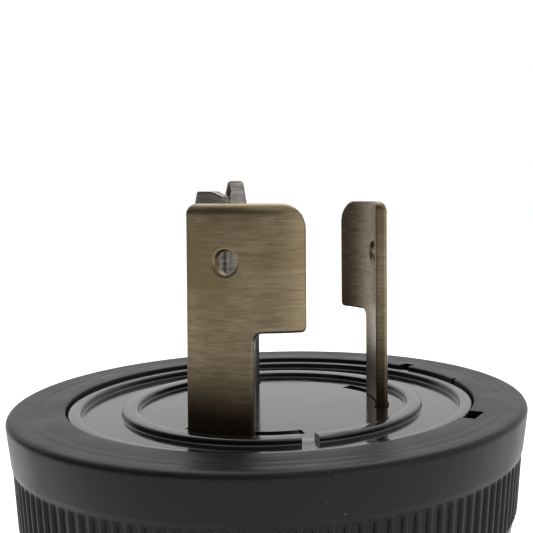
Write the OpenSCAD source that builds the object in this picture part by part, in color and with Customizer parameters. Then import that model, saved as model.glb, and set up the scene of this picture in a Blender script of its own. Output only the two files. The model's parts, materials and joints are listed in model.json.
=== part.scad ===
// Locking power plug with three curved blades, standing on its cord end.
// +Z runs along the plug's axis towards the blades, and z = 0 is the cord end.

/* [Overall] */
// Height of the flange face above the cord end
body_h = 57; // [56:0.5:66]

/* [Front shell] */
// Diameter of the flange at its face
flange_d = 58; // [57.5:0.5:62]
// Height of the plain flange band
flange_h = 5; // [4:0.5:6]
// How far the flange draws in towards its lower edge
flange_draft = 0.6; // [0.2:0.05:1]
// Height of the ribbed grip band
grip_h = 7.6; // [7:0.2:9]
// How far the grip band draws in towards its lower edge
grip_draft = 0.5; // [0.2:0.1:0.8]
// Rounding at the lower edge of the grip band
grip_round = 1.4; // [0.4:0.1:1.8]
// Number of ribs round the grip band
rib_count = 126; // [90:2:132]
// Radius of a rib's round back
rib_r = 0.38; // [0.34:0.02:0.5]
// How far a rib stands out of the band
rib_depth = 0.3; // [0.2:0.02:0.32]
// Width of the flange face round the face insert
face_w = 6.05; // [5.8:0.05:6.5]
// Depth of that seat below the face
seat_depth = 4.5; // [4:0.1:4.8]
// Width of the ledge under the face insert
ledge_w = 1.35; // [1:0.05:1.6]
// Thickness of that ledge
ledge_t = 3.5; // [3:0.1:3.8]
// Depth of the two shallow grooves in the flange face
face_line = 0.05; // [0.03:0.01:0.1]
// Distance from the seat to the inner groove
face_line_in = 2.75; // [1:0.05:3.2]
// Distance between the two grooves
face_line_step = 1.2; // [0.6:0.05:1.6]

/* [Face insert] */
// Depth of the insert below the flange face
insert_h = 12; // [11.5:0.5:13]
// How far the outer rim lies below the flange face
rim_drop = 0.4; // [0.2:0.1:0.6]
// How far the two floors lie below the flange face
floor_drop = 1.15; // [1:0.05:1.4]
// How far the raised ring's top lies below the flange face
ring_drop = 0.5; // [0.2:0.05:0.7]
// Width of the outer rim
rim_w = 1.65; // [1.2:0.05:2]
// Outer diameter of the raised ring
ring_d = 34; // [33:0.2:35]
// Width of the raised ring
ring_w = 1.72; // [1.2:0.02:2]

/* [Blades] */
// Diameter across the outer faces of the blades
blade_d = 26; // [25:0.2:27]
// Thickness of the blade strip
blade_t = 1.3; // [1.1:0.05:1.5]
// Height of the two line blades above the face
blade_h = 22.3; // [20:0.1:24]
// Height of the hook's underside above the face
hook_z = 9.1; // [7:0.1:11]
// Angle from the blade's reference line to the stem's plain edge
stem_back = 14; // [12:0.5:16]
// Angle from the reference line to the stem's other edge
stem_front = 21; // [18:0.5:23]
// Angle from the reference line to the hook's end
hook_front = 45; // [40:0.5:48]
// Radius of the hook's upper corner
hook_corner = 2.6; // [1:0.1:3]
// Radius of the hook's lower corner
hook_low_corner = 0.6; // [0.3:0.05:1]
// Radius of the fillet between the stem and the hook's underside
hook_fillet = 0.9; // [0.4:0.05:1.4]
// Diameter of the hole through a blade
hole_d = 2.45; // [1.5:0.05:3]
// Height of that hole above the face
hole_z = 16.3; // [14:0.1:18]
// Angle from the reference line to the hole
hole_at = 8; // [6:0.5:12]
// How far the rounded lead-in at a blade's tip draws in from its outer face
tip_draw = 0.6; // [0.2:0.05:0.8]
// Radius of that lead-in
tip_round = 1.5; // [1:0.1:2]

/* [Ground blade] */
// Height of the ground blade above the face
ground_h = 24.9; // [24:0.1:27]
// How far its inward leg and outer corner stay below its tip
ground_step = 1.3; // [0.6:0.1:2]
// Angle from its reference line to its plain edge
ground_back = 21; // [18:0.5:22]
// Angle by which its tip is narrower along that edge
ground_relief = 5.5; // [3:0.5:7]
// Height above the face where that edge starts to lean in
ground_relief_z = 18.5; // [16:0.5:19]
// Height above the face from which both sides of its tip are steep
ground_tip_z = 22; // [21:0.5:23]
// Angle from its reference line to the outer face of its leg
ground_front = 22; // [20:0.5:25]
// Length of the inward leg from the blade's outer face
leg_l = 5.4; // [4:0.1:5.8]
// Height of the long lead-in taper at its tip
ground_taper = 5; // [3:0.5:6]
// How far that taper draws in
ground_draw = 0.8; // [0.4:0.05:0.9]
// How far the corner between the leg and the outer face is bevelled at the leg's top
leg_bevel = 1.25; // [0.6:0.05:1.4]

/* [Terminals] */
// Width of a blade's flat tail
tail_w = 10; // [9.6:0.1:10.2]
// Height of the tail's shoulder above the insert's underside
tail_seat = 5; // [3:0.5:6]
// Height of a terminal screw above the carrier's underside
terminal_z = 8.5; // [8:0.1:9]
// Diameter of a terminal screw's thread
terminal_d = 4; // [3:0.1:4.2]
// Diameter of a terminal screw's head
terminal_head_d = 7; // [6:0.1:8]
// Height of a terminal screw's head
terminal_head_h = 2.4; // [1.8:0.1:3]
// Width and height of a pressure plate
plate_w = 9; // [8:0.1:9.4]
// Thickness of a pressure plate
plate_t = 2.5; // [2:0.1:3]

/* [Wire carrier] */
// Height of the wire carrier
carrier_h = 15; // [14.5:0.5:16]
// Thickness of its floor under the terminals
carrier_floor = 2; // [1.6:0.1:2.6]
// Diameter of a wire hole in that floor
wire_d = 5.2; // [4:0.1:5.4]

/* [Rear housing] */
// Step from the grip band's lower edge in to the housing
housing_step = 0.5; // [0.3:0.05:0.6]
// How far the housing draws in from its top to its shoulder
housing_draft = 2.5; // [1.5:0.1:3]
// Radius of the shoulder
shoulder_r = 5; // [3:0.5:6]
// Thickness of the housing's end wall
end_wall = 2.5; // [2:0.1:3.5]
// Wall of the front shell round the housing's spigot
shell_wall = 2.2; // [2:0.1:2.5]
// Wall of the spigot
spigot_wall = 1.8; // [1.6:0.1:2]
// Width of the ledge under the wire carrier
carrier_ledge = 1.3; // [1.1:0.1:1.6]
// Diameter of the cord passage
cord_pass_d = 18; // [16:0.5:18.4]
// Wall of the neck
neck_wall = 2.2; // [1.8:0.1:2.4]
// How far the neck's end bead stands out
bead_w = 1.4; // [1:0.1:1.5]
// Height of that bead
bead_h = 2.4; // [2:0.1:3]

/* [Cord clamp] */
// Height of the two clamp jaws
jaw_h = 14; // [13:0.5:16]
// Length across both ends of a closed pair of jaws
jaw_l = 46; // [45:0.5:48]
// Width across the outer faces of a pair of jaws
jaw_w = 30; // [30:0.5:31]
// Corner radius of the jaws
jaw_corner = 5; // [3:0.5:6]
// Bevel along the jaws' upper and lower edges
jaw_bevel = 0.8; // [0.2:0.1:1.2]
// Gap between the two jaws
jaw_gap = 2; // [0.6:0.1:3]
// Diameter of the cord that the closed jaws hold
cord_d = 16; // [12:0.5:16.5]
// Height of the cord bore
cord_bore_h = 8.8; // [8.4:0.1:9]
// Distance from the axis to a clamp screw
clamp_screw_at = 16.5; // [16:0.1:17]
// Height of the clamp screws
clamp_screw_z = 4.6; // [4.2:0.1:4.8]
// Diameter of a clamp screw's thread
clamp_screw_d = 4; // [3:0.1:4.2]
// Height of the gap between the jaws and the housing's end wall
jaw_clear = 3; // [2:0.5:5]

/* [Cord seal] */
// Inner diameter of the seal
seal_d = 16.4; // [14:0.2:17]
// Height of the seal
seal_h = 4; // [3:0.5:6]
// Width of the seal's seat round the cord passage
seal_seat = 2.6; // [2:0.1:2.8]

/* [Assembly screws] */
// Diameter of its thread
assembly_d = 3.5; // [3:0.1:3.6]
// Depth of the recess for its head
head_recess = 3.5; // [3:0.1:5]
// How far it reaches into the face insert
thread_reach = 5.5; // [4:0.5:6.5]
// Outer diameter of a threaded insert
sleeve_d = 5.2; // [5:0.1:5.6]
// Wall of the face insert outside a threaded insert
sleeve_wall = 0.6; // [0.5:0.05:0.7]

/* [Hidden] */
$fn = 96;

// clearances
slide = 0.15;      // between parts that slide together
loose = 0.2;       // round spigots and bodies
thread_gap = 0.05; // between a thread and its hole
past = 1;          // how far a cutter runs past a face
past_edge = 5;     // degrees that a cutter runs past a blade's edge
tail_inset = 0.15; // how far a blade's flat tail lies inside its curved stem

// reference angles of line blade 1, the ground blade and line blade 2
line_1_at = 0;
ground_at = 120;
line_2_at = 240;

// heights of the main planes
face_z = body_h;
flange_low_z = face_z - flange_h;
shell_low_z = flange_low_z - grip_h;
seat_z = face_z - seat_depth;
ledge_low_z = seat_z - ledge_t;
floor_z = face_z - floor_drop;
insert_low_z = face_z - insert_h;
carrier_low_z = insert_low_z - carrier_h;
tail_low_z = carrier_low_z + carrier_floor;
tail_top_z = insert_low_z + tail_seat;
terminal_axis_z = carrier_low_z + terminal_z;
end_z = jaw_h + jaw_clear;
chamber_z = end_z + end_wall;
head_seat_z = end_z + head_recess;

// radii
flange_step = 0.16; // step from the flange band in to the ribs
flange_r = flange_d / 2;
flange_low_r = flange_r - flange_draft;
grip_top_r = flange_low_r - flange_step;
grip_low_r = grip_top_r - grip_draft;
housing_r = grip_low_r - housing_step;
shell_hollow_r = housing_r - shell_wall;
spigot_r = shell_hollow_r - loose;
housing_bore_r = spigot_r - spigot_wall;
chamber_r = housing_bore_r - carrier_ledge;
seat_r = flange_r - face_w;
ledge_r = seat_r - ledge_w;
insert_rim_r = seat_r - slide;
insert_body_r = ledge_r - loose;
assembly_at = insert_body_r - sleeve_wall - sleeve_d / 2;
ring_r = ring_d / 2;
blade_r = blade_d / 2;
blade_in_r = blade_r - blade_t;
tail_in_r = blade_in_r - tail_inset;
carrier_r = housing_bore_r - 2 * loose;
cord_pass_r = cord_pass_d / 2;
neck_r = cord_pass_r + neck_wall;
bead_r = neck_r + bead_w;
seal_seat_r = cord_pass_r + seal_seat;

// the stem's middle line also carries the tail, and the screws line up with it
stem_mid = (stem_front - stem_back) / 2;
quarter_turn = 90;
assembly_turn = stem_mid + quarter_turn;

// points of a round corner with centre c, from angle a to angle b
function arc(c, r, a, b, steps = 6) =
    [for (i = [0:steps]) let (t = a + (b - a) * i / steps) c + r * [cos(t), sin(t)]];

// a ring or a sector of a ring with its section in polygon form
module turned(section) rotate_extrude() polygon(section);
module sector(from, to, section)
    rotate([0, 0, from]) rotate_extrude(angle = to - from) polygon(section);

// everything that stands on a radius: local +X points out along that radius
module on_radius(angle, distance = 0, height = 0)
    rotate([0, 0, angle]) translate([distance, 0, height]) children();

// cylinder along a radius, from x = a to x = b
module radial_rod(r, a, b) translate([a, 0, 0]) rotate([0, 90, 0]) cylinder(r = r, h = b - a);

// ---------------------------------------------------------------- front shell

flange_edge = 0.6;  // rounding of the flange's face edge
flange_lip = 0.5;   // height of the bevel at the flange's lower edge
flange_ledge = 0.03; // width of the edge that is left over the ribs

module flange_body()
    turned(concat(
        [[0, flange_low_z], [grip_top_r + flange_ledge, flange_low_z],
         [flange_low_r, flange_low_z + flange_lip]],
        arc([flange_r - flange_edge, face_z - flange_edge], flange_edge, 8, 90),
        [[0, face_z]]));

module grip_rib(angle) {
    lean = atan(grip_draft / grip_h);
    on_radius(angle, grip_low_r - rib_r, shell_low_z)
        rotate([0, lean, 0]) translate([0, 0, -past]) cylinder(r = rib_r, h = grip_h + 2 * past, $fn = 16);
}

grip_round_sweep = 60; // degrees that the rounding at the lower edge goes through

module grip_envelope()
    turned(concat(
        [[0, shell_low_z], [grip_low_r - grip_round / 2, shell_low_z]],
        arc([grip_low_r - grip_round, shell_low_z + grip_round], grip_round, -grip_round_sweep, 0, 4),
        [[grip_top_r, flange_low_z], [0, flange_low_z]]));

module grip_band() intersection() {
    grip_envelope();
    union() {
        turned([[0, shell_low_z], [grip_low_r - rib_depth, shell_low_z],
                [grip_top_r - rib_depth, flange_low_z], [0, flange_low_z]]);
        for (i = [0:rib_count - 1]) grip_rib(i * 360 / rib_count);
    }
}

face_line_w = 0.5; // width of a groove in the flange face

module face_groove(r)
    turned([[r - face_line_w / 2, face_z + past], [r - face_line_w / 2, face_z], [r, face_z - face_line],
            [r + face_line_w / 2, face_z], [r + face_line_w / 2, face_z + past]]);

// pockets in the seat's edge: [angle, width along the edge, depth outwards, depth down]
edge_pockets = [[41, 1.6, 1.5, 2], [15, 0.6, 0.5, 2], [-30, 3.2, 1.7, 2]];

module front_shell() color("#2c2c2d") difference() {
    union() {
        flange_body();
        grip_band();
    }
    translate([0, 0, seat_z]) cylinder(r = seat_r, h = seat_depth + past);
    translate([0, 0, shell_low_z]) cylinder(r = ledge_r, h = body_h);
    translate([0, 0, shell_low_z - past]) cylinder(r = shell_hollow_r, h = ledge_low_z - shell_low_z + past);
    face_groove(seat_r + face_line_in);
    face_groove(seat_r + face_line_in + face_line_step);
    for (p = edge_pockets)
        on_radius(p[0], seat_r - past, face_z - p[3])
            translate([0, -p[1] / 2, 0]) cube([p[2] + past, p[1], p[3] + past]);
}

// ---------------------------------------------------------------- face insert

edge_break = 0.18; // small bevel on the edges of the face insert and inside the blade tips

module insert_body()
    turned([[0, insert_low_z], [insert_body_r, insert_low_z], [insert_body_r, seat_z],
            [insert_rim_r, seat_z],
            [insert_rim_r, face_z - rim_drop - edge_break],
            [insert_rim_r - edge_break, face_z - rim_drop],
            [seat_r - rim_w + edge_break, face_z - rim_drop],
            [seat_r - rim_w, face_z - rim_drop - edge_break],
            [seat_r - rim_w, floor_z], [ring_r, floor_z],
            [ring_r, face_z - ring_drop - edge_break],
            [ring_r - edge_break, face_z - ring_drop],
            [ring_r - ring_w + edge_break, face_z - ring_drop],
            [ring_r - ring_w, face_z - ring_drop - edge_break],
            [ring_r - ring_w, floor_z], [0, floor_z]]);

module blade_slot(from, to)
    sector(from, to, [[blade_in_r - slide, insert_low_z - past], [blade_r + slide, insert_low_z - past],
                      [blade_r + slide, face_z], [blade_in_r - slide, face_z]]);

slot_play = 0.8;    // degrees between a blade's edge and its slot
hook_mark = 0.25;   // depth of the shallow recess that runs on from a slot below the hook
hook_mark_short = 1.5; // degrees by which that recess ends before the hook's end
ring_notch = [39, 45]; // angles, from line blade 2, of the notch through the raised ring
screw_end_room = 1; // room above an assembly screw's end

module hook_recess()
    sector(stem_front, hook_front - hook_mark_short,
           [[blade_in_r - slide, floor_z - hook_mark], [blade_r + slide, floor_z - hook_mark],
            [blade_r + slide, face_z], [blade_in_r - slide, face_z]]);

module ring_gap()
    sector(ring_notch[0], ring_notch[1],
           [[ring_r - ring_w - past, floor_z], [ring_r + past, floor_z],
            [ring_r + past, face_z], [ring_r - ring_w - past, face_z]]);

// room for the tail, its shoulder and the curved stem between them
module tail_pocket() {
    inner = blade_in_r * cos(ground_back + stem_mid) - slide;
    on_radius(stem_mid, inner, insert_low_z - past)
        translate([0, -tail_w / 2 - slide, 0])
            cube([tail_in_r + blade_t + slide - inner, tail_w + 2 * slide, tail_seat + past]);
}

module face_insert() color("#141416") difference() {
    insert_body();
    for (a = [line_1_at, line_2_at]) {
        blade_slot(a - stem_back - slot_play, a + stem_front + slot_play);
        rotate([0, 0, a]) hook_recess();
    }
    rotate([0, 0, line_2_at]) ring_gap();
    blade_slot(ground_at - ground_back - slot_play, ground_at + ground_front + slot_play);
    on_radius(ground_at + ground_front, 0, insert_low_z - past)
        translate([blade_r - leg_l - slide, -blade_t - slide, 0])
            cube([leg_l, blade_t + 2 * slide, insert_h + past]);
    for (a = [line_1_at, ground_at, line_2_at]) rotate([0, 0, a]) tail_pocket();
    for (side = [0, 180])
        on_radius(assembly_turn + side, assembly_at, insert_low_z - past)
            cylinder(d = sleeve_d, h = thread_reach + screw_end_room + past);
}

// --------------------------------------------------------------------- blades

// flat tail with the terminal screw's hole, below the curved part of a blade
module blade_tail() difference() {
    on_radius(stem_mid, tail_in_r, tail_low_z)
        translate([0, -tail_w / 2, 0]) cube([blade_t, tail_w, tail_top_z - tail_low_z]);
    on_radius(stem_mid, 0, terminal_axis_z)
        radial_rod(terminal_d / 2 + loose, blade_in_r - past, blade_r + past);
}

// section of the curved strip: its tip is rounded on the outer face and has a small bevel inside
tip_height = sqrt(pow(tip_round, 2) - pow(tip_round - tip_draw, 2));
tip_sweep = acos((tip_round - tip_draw) / tip_round);
function strip_section(low, high) = concat(
    [[blade_in_r, low], [blade_r, low]],
    arc([blade_r - tip_round, high - tip_height], tip_round, 0, tip_sweep),
    [[blade_in_r + edge_break, high], [blade_in_r, high - edge_break]]);

// takes away the strip between two angles and two heights
module strip_cutter(from, to, low, high)
    sector(from, to, [[blade_in_r - past, low], [blade_r + past, low],
                      [blade_r + past, high], [blade_in_r - past, high]]);

// What lies outside the round of radius r at a corner of the strip. side is 1 where the
// strip lies at smaller angles than the corner, and up is 1 where it lies below the corner.
module corner_cutter(r, angle, z, side, up) {
    ease = 0.06; // the round meets the two edges at a slight angle
    on_radius(angle - side * asin((r - ease) / blade_r), 0, z - up * (r - ease)) difference() {
        translate([blade_in_r - past, min(0, side * 2 * r), min(0, up * 2 * r)])
            cube([blade_t + 3 * past, 2 * r, 2 * r]);
        radial_rod(r, blade_in_r - 2 * past, blade_r + 3 * past);
    }
}

module line_blade() color("#8c7f66") {
    difference() {
        sector(-stem_back, hook_front, strip_section(insert_low_z, face_z + blade_h));
        difference() {
            strip_cutter(stem_front, hook_front + past_edge, insert_low_z - past, face_z + hook_z);
            corner_cutter(hook_fillet, stem_front, face_z + hook_z, -1, 1);
        }
        corner_cutter(hook_corner, hook_front, face_z + blade_h, 1, 1);
        corner_cutter(hook_low_corner, hook_front, face_z + hook_z, 1, -1);
        on_radius(hole_at, 0, face_z + hole_z)
            radial_rod(hole_d / 2, blade_in_r - past, blade_r + past);
    }
    blade_tail();
}

ground_tip_to = -1;   // angle from the reference line to the inner side of its highest point
ground_tip_lean = 10; // degrees by which the two sides of its tip lean in
ground_tip_round = 0.6; // radius of the tip's two corners
notch_drop = 0.6;     // how far the notch beside the tip reaches below the leg's top
notch_w = 1.3;        // width of the slope from that notch up to the leg's top
leg_slope_w = 1.7;    // length of the slope at the inner end of the leg's top
leg_bevel_turn = 30;  // degrees from the leg to the direction that its corner bevel faces
leg_bevel_h = 3.9;    // height of that bevel below the leg's top

// the ground blade's tip draws in towards the axis over its last stretch
module ground_envelope() {
    top = face_z + ground_h;
    turned([[0, tail_low_z - past], [blade_r + past, tail_low_z - past],
            [blade_r + past, top - ground_taper * (1 + past / ground_draw)],
            [blade_r - ground_draw, top], [0, top]]);
}

// the ground blade seen from above: the curved strip with its leg turned inwards
module ground_plan() {
    intersection() {
        difference() {
            circle(r = blade_r);
            circle(r = blade_in_r);
        }
        polygon([[0, 0], 2 * blade_r * [cos(-ground_back), sin(-ground_back)],
                 2 * blade_r * [cos(ground_front), sin(ground_front)]]);
    }
    rotate(ground_front) translate([blade_r - leg_l, -blade_t]) square([leg_l - blade_t / 2, blade_t]);
}

// the ground blade seen from the axis, with its tip, the notch beside it and the leg's top
module ground_outline() {
    top = face_z + ground_h;
    leg_top = top - ground_step;
    edge = -blade_r * sin(ground_back);                      // its plain edge, low down
    tip_edge = -blade_in_r * sin(ground_back - ground_relief); // the same edge at the tip
    slope = (tip_edge - edge) / (ground_tip_z - ground_relief_z);
    lean = tan(ground_tip_lean);
    tip_inner = blade_r * sin(ground_tip_to);
    right = tip_edge + (ground_h - ground_tip_z) * lean;
    left = tip_inner - (ground_step + notch_drop) * lean;
    r = ground_tip_round;
    polygon(concat(
        [[edge - past, insert_low_z - past], [edge - past, face_z + ground_relief_z - past / slope],
         [tip_edge, face_z + ground_tip_z]],
        arc([right + r, top - r], r, 2 * quarter_turn - ground_tip_lean, quarter_turn, 4),
        arc([left - r, top - r], r, quarter_turn, ground_tip_lean, 4),
        [[tip_inner, leg_top - notch_drop], [tip_inner + notch_w, leg_top],
         [2 * blade_r, leg_top], [2 * blade_r, insert_low_z - past]]));
}

module ground_blade_shape() color("#a9a7a2") {
    leg_top_z = face_z + ground_h - ground_step;
    difference() {
        intersection() {
            translate([0, 0, insert_low_z]) linear_extrude(insert_h + ground_h) ground_plan();
            ground_envelope();
            rotate([90, 0, 90]) linear_extrude(2 * blade_r) ground_outline();
        }
        on_radius(ground_front, blade_r - leg_l, leg_top_z - notch_drop)
            rotate([0, -atan(notch_drop / leg_slope_w), 0])
                translate([-blade_r, -blade_t - past, 0])
                    cube([2 * blade_r - leg_l, blade_t + 2 * past, blade_t]);
        on_radius(ground_front + leg_bevel_turn, blade_r * cos(leg_bevel_turn), leg_top_z - leg_bevel_h)
            rotate([0, -atan(leg_bevel / leg_bevel_h), 0])
                translate([0, -blade_r, -past]) cube([blade_r, 2 * blade_r, 2 * leg_bevel_h]);
    }
    blade_tail();
}

module line_blade_1() rotate([0, 0, line_1_at]) line_blade();
module line_blade_2() rotate([0, 0, line_2_at]) line_blade();
module ground_blade() rotate([0, 0, ground_at]) ground_blade_shape();

// ------------------------------------------------------------------ terminals

module pressure_plate(angle) color("#b8a878")
    on_radius(angle + stem_mid, tail_in_r - plate_t, terminal_axis_z) difference() {
        translate([0, -plate_w / 2, -plate_w / 2]) cube([plate_t, plate_w, plate_w]);
        radial_rod(terminal_d / 2 + thread_gap, -past, plate_t + past);
    }

// a pan head's proportions, as shares of its height and of its radius
head_side = 0.55;   // height of its upright side
head_top = 0.72;    // radius of its flat top
drive_floor = 0.45; // height of the drive slots' floor
drive_reach = 0.64; // reach of the drive slots
drive_w = 1.1;      // width of the drive slots

// pan head on the plane x = 0 with its shank along -X
module machine_screw(d, head_d, head_h, shank) difference() {
    union() {
        rotate([0, 90, 0]) rotate_extrude()
            polygon([[0, 0], [head_d / 2, 0], [head_d / 2, head_h * head_side],
                     [head_d / 2 * head_top, head_h], [0, head_h]]);
        radial_rod(d / 2, -shank, head_h * drive_floor);
    }
    for (turn = [0, quarter_turn]) rotate([turn, 0, 0])
        translate([head_h * drive_floor, -head_d / 2 * drive_reach, -drive_w / 2])
            cube([head_h, head_d * drive_reach, drive_w]);
}

screw_overrun = 2; // how far a terminal screw's end stands out of its pressure plate

module terminal_screw(angle, tint) color(tint)
    on_radius(angle + stem_mid, tail_in_r + blade_t, terminal_axis_z)
        machine_screw(terminal_d, terminal_head_d, terminal_head_h, blade_t + plate_t + screw_overrun);

// --------------------------------------------------------------- wire carrier

wire_end_room = 2.7; // room for the wire's bared end inside a pressure plate

module terminal_pocket() {
    inner = tail_in_r - plate_t - wire_end_room;
    on_radius(stem_mid, inner, tail_low_z)
        translate([0, -tail_w / 2 - loose, 0]) cube([carrier_r, tail_w + 2 * loose, carrier_h]);
    on_radius(stem_mid, tail_in_r - wire_d / 2 - loose, carrier_low_z - past)
        cylinder(d = wire_d, h = carrier_floor + 2 * past);
}

module wire_carrier() color("#3a3d40") difference() {
    translate([0, 0, carrier_low_z]) cylinder(r = carrier_r, h = carrier_h);
    for (a = [line_1_at, ground_at, line_2_at]) rotate([0, 0, a]) terminal_pocket();
    for (side = [0, 180])
        on_radius(assembly_turn + side, assembly_at, carrier_low_z - past)
            cylinder(d = assembly_d + 2 * loose, h = carrier_h + 2 * past);
}

// --------------------------------------------------------------- rear housing

column_r = 4.9;         // radius of the columns that carry the assembly screws
column_bite = 0.5;      // how far the columns reach into the end wall and the chamber's wall
neck_fillet = 1.5;      // bevel between the neck and the end wall
chamber_bevel = 4;      // bevel round the chamber's floor

module housing_outside()
    turned(concat(
        [[0, cord_bore_h], [bead_r, cord_bore_h], [bead_r, cord_bore_h + bead_h],
         [neck_r, cord_bore_h + bead_h], [neck_r, end_z - neck_fillet], [neck_r + neck_fillet, end_z]],
        arc([housing_r - housing_draft - shoulder_r, end_z + shoulder_r], shoulder_r, -90, 0),
        [[housing_r, shell_low_z], [spigot_r, shell_low_z],
         [spigot_r, ledge_low_z - 2 * slide], [0, ledge_low_z - 2 * slide]]));

module housing_inside() {
    turned([[0, chamber_z], [chamber_r - chamber_bevel, chamber_z], [chamber_r, chamber_z + chamber_bevel],
            [chamber_r, carrier_low_z], [housing_bore_r, carrier_low_z],
            [housing_bore_r, ledge_low_z + past], [0, ledge_low_z + past]]);
    translate([0, 0, end_z]) cylinder(r = seal_seat_r, h = end_wall + past);
    cylinder(r = cord_pass_r, h = chamber_z);
}

module rear_housing() color("#9c9c98") difference() {
    union() {
        difference() {
            housing_outside();
            housing_inside();
        }
        intersection() {
            for (side = [0, 180])
                on_radius(assembly_turn + side, assembly_at, end_z)
                    cylinder(r = column_r, h = carrier_low_z - end_z);
            turned([[seal_seat_r, end_z + column_bite], [chamber_r + column_bite, end_z + column_bite],
                    [chamber_r + column_bite, carrier_low_z], [seal_seat_r, carrier_low_z]]);
        }
    }
    for (side = [0, 180]) on_radius(assembly_turn + side, assembly_at, end_z - past) {
        cylinder(d = assembly_d + 2 * loose, h = body_h);
        cylinder(r = assembly_head_r + 2 * loose, h = head_recess + past);
    }
}

seal_lip = 1; // width of the seal's upper lip

module cord_seal() color("#1d1d1e")
    turned([[seal_d / 2, end_z], [seal_seat_r - slide, end_z], [seal_seat_r - slide, end_z + end_wall],
            [seal_d / 2 + seal_lip, end_z + seal_h], [seal_d / 2, end_z + seal_h]]);

// ----------------------------------------------------------------- cord clamp

// side view of a block of width w with its upper and lower edges bevelled
module jaw_side(w) {
    out = w / 2 + past;
    rise = jaw_bevel + past;
    polygon([[jaw_bevel - w / 2, 0], [w / 2 - jaw_bevel, 0], [out, rise], [out, jaw_h - rise],
             [w / 2 - jaw_bevel, jaw_h], [jaw_bevel - w / 2, jaw_h], [-out, jaw_h - rise], [-out, rise]]);
}

module jaw_pair_body() difference() {
    intersection() {
        linear_extrude(jaw_h) {
            square([jaw_l - 2 * jaw_corner, jaw_w], center = true);
            square([jaw_l, jaw_w - 2 * jaw_corner], center = true);
            for (x = [-1, 1], y = [-1, 1])
                translate([x * (jaw_l / 2 - jaw_corner), y * (jaw_w / 2 - jaw_corner)])
                    circle(r = jaw_corner);
        }
        rotate([90, 0, 90]) linear_extrude(2 * jaw_l, center = true) jaw_side(jaw_w);
        rotate([90, 0, 0]) linear_extrude(2 * jaw_w, center = true) jaw_side(jaw_l);
    }
    translate([0, 0, -past]) cylinder(d = cord_d, h = cord_bore_h + 2 * past);
    translate([0, 0, cord_bore_h]) cylinder(r = bead_r + loose, h = bead_h + loose);
    translate([0, 0, cord_bore_h]) cylinder(r = neck_r + loose, h = jaw_h);
}

clamp_head_d = 7.2;
clamp_head_h = 2.6;
clamp_head_drop = 3; // depth of the recess for a clamp screw's head
clamp_end_drop = 1;  // how far a clamp screw's end lies below the jaw's outer face
nut_d = 8.08;        // across the corners of a clamp nut
nut_h = 3.2;

module jaw_holes() for (x = [-clamp_screw_at, clamp_screw_at])
    translate([x, 0, clamp_screw_z]) {
        rotate([90, 0, 0]) cylinder(d = clamp_screw_d + 2 * loose, h = jaw_w + 2 * past, center = true);
        translate([0, jaw_w / 2 - clamp_head_drop, 0]) rotate([-90, 0, 0])
            cylinder(d = clamp_head_d + 2 * loose, h = clamp_head_drop + past);
        translate([0, nut_h - jaw_w / 2, 0]) rotate([90, 0, 0])
            cylinder(d = nut_d + 2 * loose, h = nut_h + past, $fn = 6);
    }

module clamp_jaw(side) color("#2a2a2b") rotate([0, 0, stem_mid]) difference() {
    intersection() {
        jaw_pair_body();
        translate([-jaw_l, side > 0 ? jaw_gap / 2 : -jaw_l - jaw_gap / 2, 0]) cube([2 * jaw_l, jaw_l, jaw_h]);
    }
    jaw_holes();
}

module clamp_screw(side) color("#b9bcc0")
    rotate([0, 0, stem_mid])
        translate([side * clamp_screw_at, jaw_w / 2 - clamp_head_drop, clamp_screw_z])
            rotate([0, 0, quarter_turn])
                machine_screw(clamp_screw_d, clamp_head_d, clamp_head_h,
                              jaw_w - clamp_head_drop - clamp_end_drop);

module clamp_nut(side) color("#b9bcc0")
    rotate([0, 0, stem_mid])
        translate([side * clamp_screw_at, nut_h - jaw_w / 2, clamp_screw_z]) rotate([90, 0, 0]) difference() {
            cylinder(d = nut_d, h = nut_h - loose, $fn = 6);
            translate([0, 0, -past]) cylinder(d = clamp_screw_d + 2 * thread_gap, h = nut_h + 2 * past);
        }

// ------------------------------------------------------------ assembly screws

assembly_head_r = 2.8;
assembly_head_h = 2.2;

module assembly_screw(side) color("#b9bcc0")
    on_radius(assembly_turn + side, assembly_at, head_seat_z) rotate([0, 90, 0])
        machine_screw(assembly_d, 2 * assembly_head_r, assembly_head_h,
                      insert_low_z + thread_reach - head_seat_z);

module threaded_insert(side) color("#c2a25a")
    on_radius(assembly_turn + side, assembly_at, insert_low_z) difference() {
        cylinder(d = sleeve_d - 2 * thread_gap, h = thread_reach);
        translate([0, 0, -past]) cylinder(d = assembly_d + 2 * thread_gap, h = thread_reach + 2 * past);
    }

// ----------------------------------------------------------------------- draw

front_shell();
face_insert();
line_blade_1();
line_blade_2();
ground_blade();
pressure_plate(line_1_at);  // pressure_plate_1
pressure_plate(line_2_at);  // pressure_plate_2
pressure_plate(ground_at);  // pressure_plate_ground
terminal_screw(line_1_at, "#c2a25a");  // terminal_screw_1
terminal_screw(line_2_at, "#c8c9cb");  // terminal_screw_2
terminal_screw(ground_at, "#3f7d4a");  // terminal_screw_ground
wire_carrier();
rear_housing();
cord_seal();
clamp_jaw(1);  // clamp_jaw_head_side
clamp_jaw(-1);  // clamp_jaw_nut_side
clamp_screw(1);  // clamp_screw_1
clamp_screw(-1);  // clamp_screw_2
clamp_nut(1);  // clamp_nut_1
clamp_nut(-1);  // clamp_nut_2
assembly_screw(0);  // assembly_screw_1
assembly_screw(180);  // assembly_screw_2
threaded_insert(0);  // threaded_insert_1
threaded_insert(180);  // threaded_insert_2
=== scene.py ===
import json
import math

import bmesh
import bpy
from mathutils import Matrix, Vector

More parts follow.
